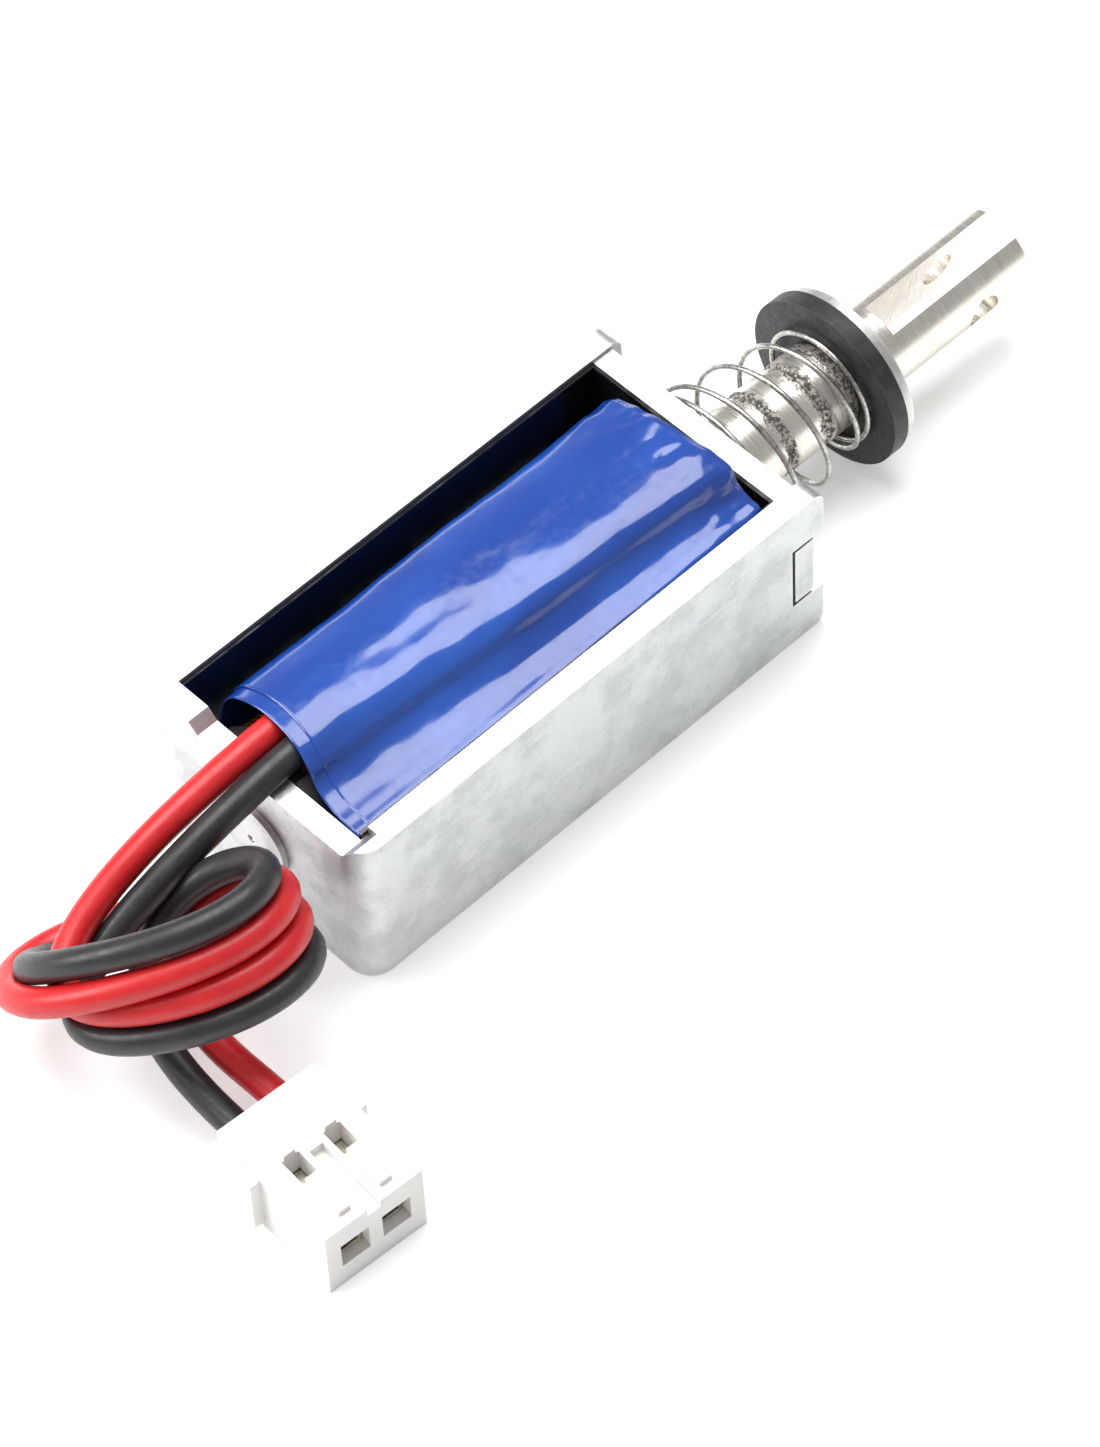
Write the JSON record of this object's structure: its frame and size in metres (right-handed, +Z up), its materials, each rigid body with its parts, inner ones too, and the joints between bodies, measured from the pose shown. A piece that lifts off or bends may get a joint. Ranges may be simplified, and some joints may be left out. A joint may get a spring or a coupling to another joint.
{
  "type": "push pull solenoid",
  "caption": "Open-frame push pull solenoid: U-shaped steel frame, taped coil, conical return spring on a slotted clevis plunger, and a coiled lead pair with a plug.",
  "frame": {"origin": "below the plunger's axis on the surface that the frame stands on, halfway between the rear rivet head and the clevis tip", "axes": "+X out along the plunger, the way that it returns; +Z up, square to the frame's lower edges; +Y to the frame's left seen from behind"},
  "size_m": [0.069, 0.0272, 0.0145],
  "materials": {
    "zinc_steel": "satin zinc plate",
    "nickel_steel": "turned and nickel plated",
    "core_steel": "plain turned",
    "spring_steel": "drawn wire",
    "brass": "drawn",
    "tinned_brass": "tin plated",
    "blue_tape": "glossy polyester film",
    "black_film": "glossy film",
    "bobbin_plastic": "moulded",
    "enamelled_wire": "enamel over copper",
    "joint_sleeve": "sleeving",
    "red_insulation": "extruded",
    "black_insulation": "extruded",
    "white_nylon": "moulded",
    "black_rubber": "satin"
  },
  "bodies": {
    "stator": {"yoke_frame": "zinc_steel", "front_plate": "zinc_steel", "insulation_film": "black_film", "bobbin": "bobbin_plastic", "guide_tube": "brass", "fixed_core": "core_steel", "coil_winding": "enamelled_wire", "coil_tape": "blue_tape", "solder_joints": "joint_sleeve", "lead_red_exit": "red_insulation", "lead_black_exit": "black_insulation", "lead_coil": "red_insulation", "lead_red_tail": "red_insulation", "lead_black_tail": "black_insulation", "plug_housing": "white_nylon", "crimp_contacts": "tinned_brass", "return_spring": "spring_steel"},
    "washers": {"rubber_washer": "black_rubber", "steel_washer": "zinc_steel"},
    "plunger": {"plunger": "nickel_steel", "retaining_clip": "zinc_steel"}
  },
  "joints": [
    {"name": "plunger_slide", "type": "slide", "parent": "stator", "child": "washers", "axis": [1, 0, 0], "range_m": [-0.006, 0], "stiffness_N_per_m": 80, "deforming": ["return_spring"]},
    {"name": "plunger_turn", "type": "hinge", "parent": "washers", "child": "plunger", "pos_m": [0, 0, 0.00515], "axis": [1, 0, 0], "continuous": true}
  ]
}
